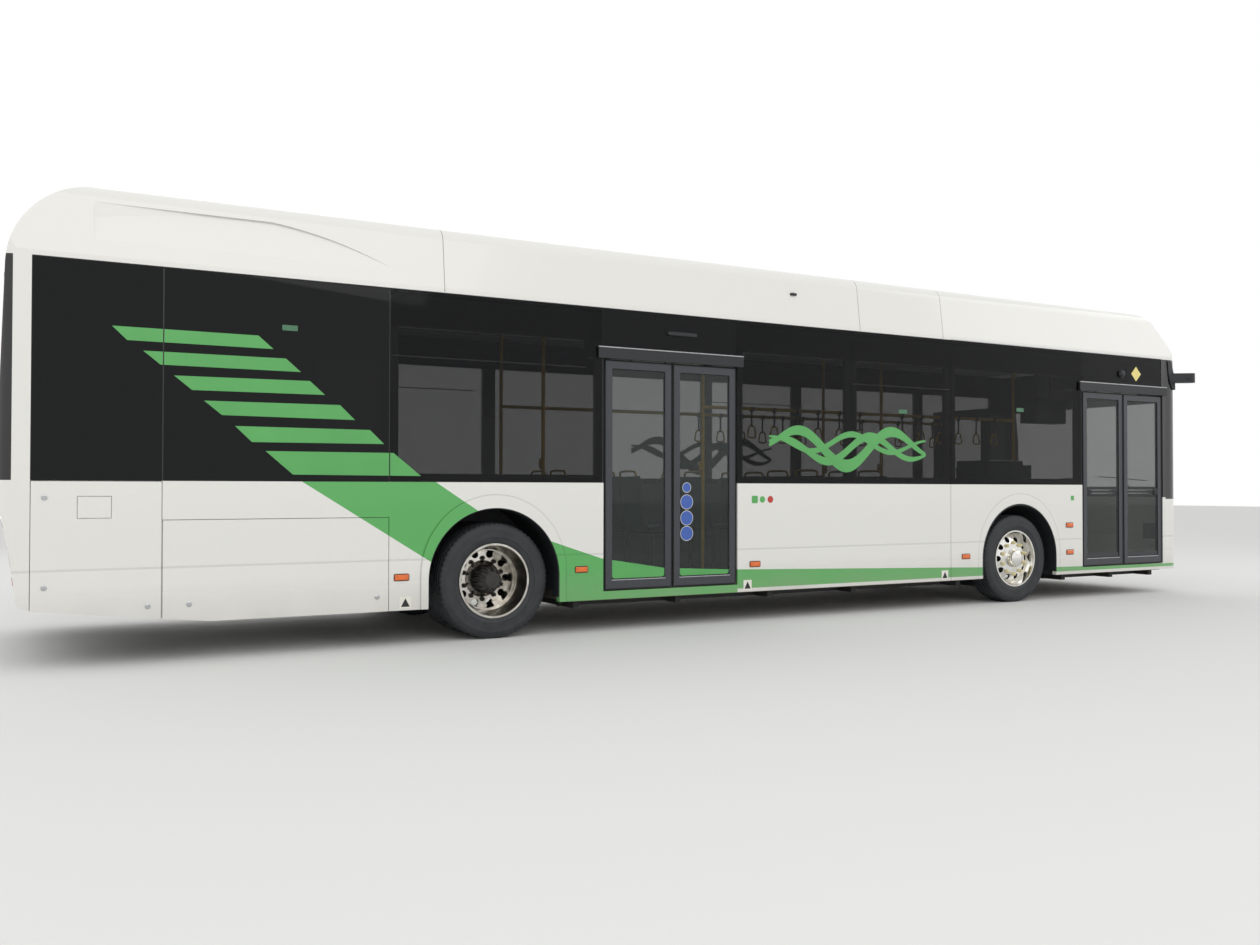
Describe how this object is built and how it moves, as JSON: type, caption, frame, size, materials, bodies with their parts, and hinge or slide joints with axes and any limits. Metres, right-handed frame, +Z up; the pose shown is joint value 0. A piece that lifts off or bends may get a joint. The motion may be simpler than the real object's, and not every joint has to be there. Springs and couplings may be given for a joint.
{
  "type": "city bus",
  "caption": "Low-entry single-deck city bus with inward-gliding double doors, steered front wheels, twin rear wheels and hinged service lids.",
  "frame": {"origin": "on the ground under the middle of the body", "axes": "+X forward, +Y to the left side, +Z up"},
  "size_m": [12.2175, 2.8656, 3.27],
  "materials": {
    "floor_covering": "satin",
    "chassis_paint": "satin",
    "body_paint": "gloss",
    "tinted_glass": "polished",
    "clear_glass": "polished",
    "pack_casing": "satin",
    "lamp_lens": "polished",
    "dark_plastic": "matte",
    "seat_fabric": "woven",
    "rail_paint": "gloss",
    "door_frame_paint": "satin",
    "cast_steel": "rough",
    "tyre_rubber": "matte",
    "rim_alloy": "polished"
  },
  "bodies": {
    "root": {"floor_deck": "floor_covering", "rear_floor": "floor_covering", "cab_platform": "floor_covering", "front_wheel_housings": "floor_covering", "rear_wheel_housings": "floor_covering", "chassis_frame": "chassis_paint", "side_wall_right": "body_paint", "side_wall_left": "body_paint", "side_glass": "tinted_glass", "roof_deck": "body_paint", "roof_fairings": "body_paint", "roof_battery_packs": "pack_casing", "air_conditioner": "pack_casing", "front_mask": "body_paint", "windscreen": "clear_glass", "rear_mask": "body_paint", "rear_window": "tinted_glass", "lamps": "lamp_lens", "mirror_arms": "dark_plastic", "front_axle_beam": "chassis_paint", "rear_axle": "chassis_paint", "battery_blocks": "pack_casing", "passenger_seats": "seat_fabric", "grab_rails": "rail_paint", "cab_partition": "dark_plastic", "dashboard": "dark_plastic", "door_headers": "door_frame_paint"},
    "service_flap_right": {"service_flap_right": "body_paint"},
    "service_flap_left": {"service_flap_left": "body_paint"},
    "rear_side_door": {"rear_side_door": "body_paint"},
    "charge_flap": {"charge_flap": "body_paint"},
    "rear_hatch": {"rear_hatch": "body_paint"},
    "cab_door": {"cab_door": "dark_plastic"},
    "knuckle_right": {"knuckle_right": "cast_steel"},
    "knuckle_left": {"knuckle_left": "cast_steel"},
    "tie_rod": {"tie_rod": "cast_steel"},
    "front_wheel_right": {"front_tyre_right": "tyre_rubber", "front_rim_right": "rim_alloy"},
    "rear_wheel_right": {"rear_tyres_right": "tyre_rubber", "rear_rim_right": "rim_alloy"},
    "front_wheel_left": {"front_tyre_left": "tyre_rubber", "front_rim_left": "rim_alloy"},
    "rear_wheel_left": {"rear_tyres_left": "tyre_rubber", "rear_rim_left": "rim_alloy"},
    "column_middle_rear": {"door_column_middle_rear": "door_frame_paint"},
    "leaf_middle_rear": {"door_leaf_middle_rear": "door_frame_paint", "door_glass_middle_rear": "clear_glass"},
    "column_middle_front": {"door_column_middle_front": "door_frame_paint"},
    "leaf_middle_front": {"door_leaf_middle_front": "door_frame_paint", "door_glass_middle_front": "clear_glass"},
    "column_front_rear": {"door_column_front_rear": "door_frame_paint"},
    "leaf_front_rear": {"door_leaf_front_rear": "door_frame_paint", "door_glass_front_rear": "clear_glass"},
    "column_front_front": {"door_column_front_front": "door_frame_paint"},
    "leaf_front_front": {"door_leaf_front_front": "door_frame_paint", "door_glass_front_front": "clear_glass"}
  },
  "joints": [
    {"name": "steer_right", "type": "hinge", "parent": "root", "child": "knuckle_right", "pos_m": [3.3, -0.925, 0.461], "axis": [0, 0, 1], "range_deg": [-40, 40]},
    {"name": "steer_left", "type": "hinge", "parent": "root", "child": "knuckle_left", "pos_m": [3.3, 0.925, 0.461], "axis": [0, 0, 1], "range_deg": [-40, 40]},
    {"name": "tie_rod_pivot", "type": "hinge", "parent": "knuckle_right", "child": "tie_rod", "pos_m": [3.15, -0.925, 0.352], "axis": [0, 0, 1], "range_deg": [-40, 40]},
    {"name": "front_wheel_right_spin", "type": "hinge", "parent": "knuckle_right", "child": "front_wheel_right", "pos_m": [3.3, -1.097, 0.461], "axis": [0, 1, 0], "continuous": true},
    {"name": "rear_wheel_right_spin", "type": "hinge", "parent": "root", "child": "rear_wheel_right", "pos_m": [-2.65, -0.941, 0.461], "axis": [0, 1, 0], "continuous": true},
    {"name": "front_wheel_left_spin", "type": "hinge", "parent": "knuckle_left", "child": "front_wheel_left", "pos_m": [3.3, 1.097, 0.461], "axis": [0, 1, 0], "continuous": true},
    {"name": "rear_wheel_left_spin", "type": "hinge", "parent": "root", "child": "rear_wheel_left", "pos_m": [-2.65, 0.941, 0.461], "axis": [0, 1, 0], "continuous": true},
    {"name": "door_middle_rear", "type": "hinge", "parent": "root", "child": "column_middle_rear", "pos_m": [-1.73, -1.2, 1.3], "axis": [0, 0, 1], "range_deg": [0, 80]},
    {"name": "leaf_middle_rear", "type": "hinge", "parent": "column_middle_rear", "child": "leaf_middle_rear", "pos_m": [-1.38875, -1.2, 1.3], "axis": [0, 0, 1], "range_deg": [-160, 0]},
    {"name": "door_middle_front", "type": "hinge", "parent": "root", "child": "column_middle_front", "pos_m": [-0.295, -1.2, 1.3], "axis": [0, 0, -1], "range_deg": [0, 80]},
    {"name": "leaf_middle_front", "type": "hinge", "parent": "column_middle_front", "child": "leaf_middle_front", "pos_m": [-0.63625, -1.2, 1.3], "axis": [0, 0, -1], "range_deg": [-160, 0]},
    {"name": "door_front_rear", "type": "hinge", "parent": "root", "child": "column_front_rear", "pos_m": [4.27, -1.2, 1.3], "axis": [0, 0, 1], "range_deg": [0, 80]},
    {"name": "leaf_front_rear", "type": "hinge", "parent": "column_front_rear", "child": "leaf_front_rear", "pos_m": [4.62125, -1.2, 1.3], "axis": [0, 0, 1], "range_deg": [-160, 0]},
    {"name": "door_front_front", "type": "hinge", "parent": "root", "child": "column_front_front", "pos_m": [5.745, -1.2, 1.3], "axis": [0, 0, -1], "range_deg": [0, 80]},
    {"name": "leaf_front_front", "type": "hinge", "parent": "column_front_front", "child": "leaf_front_front", "pos_m": [5.39375, -1.2, 1.3], "axis": [0, 0, -1], "range_deg": [-160, 0]},
    {"name": "service_flap_right", "type": "hinge", "parent": "root", "child": "service_flap_right", "pos_m": [-4.322, -1.275, 0.98], "axis": [-1, 0, 0], "range_deg": [0, 85]},
    {"name": "service_flap_left", "type": "hinge", "parent": "root", "child": "service_flap_left", "pos_m": [-4.322, 1.275, 0.98], "axis": [1, 0, 0], "range_deg": [0, 85]},
    {"name": "rear_side_door", "type": "hinge", "parent": "root", "child": "rear_side_door", "pos_m": [-5.116, -1.275, 0.8], "axis": [0, 0, 1], "range_deg": [0, 85]},
    {"name": "charge_flap", "type": "hinge", "parent": "rear_side_door", "child": "charge_flap", "pos_m": [-5.435, -1.275, 1.067], "axis": [0, 0, 1], "range_deg": [0, 110]},
    {"name": "rear_hatch", "type": "hinge", "parent": "root", "child": "rear_hatch", "pos_m": [-6.0945, 0, 1.4], "axis": [0, 1, 0], "range_deg": [0, 80]},
    {"name": "cab_door", "type": "hinge", "parent": "root", "child": "cab_door", "pos_m": [4.605, 0.277, 0.9], "axis": [0, 0, -1], "range_deg": [0, 90]}
  ],
  "couplings": [
    {"joint": "steer_left", "follows": "steer_right", "ratio": 1},
    {"joint": "tie_rod_pivot", "follows": "steer_right", "ratio": -1},
    {"joint": "leaf_middle_rear", "follows": "door_middle_rear", "ratio": -2},
    {"joint": "leaf_middle_front", "follows": "door_middle_front", "ratio": -2},
    {"joint": "leaf_front_rear", "follows": "door_front_rear", "ratio": -2},
    {"joint": "leaf_front_front", "follows": "door_front_front", "ratio": -2}
  ]
}
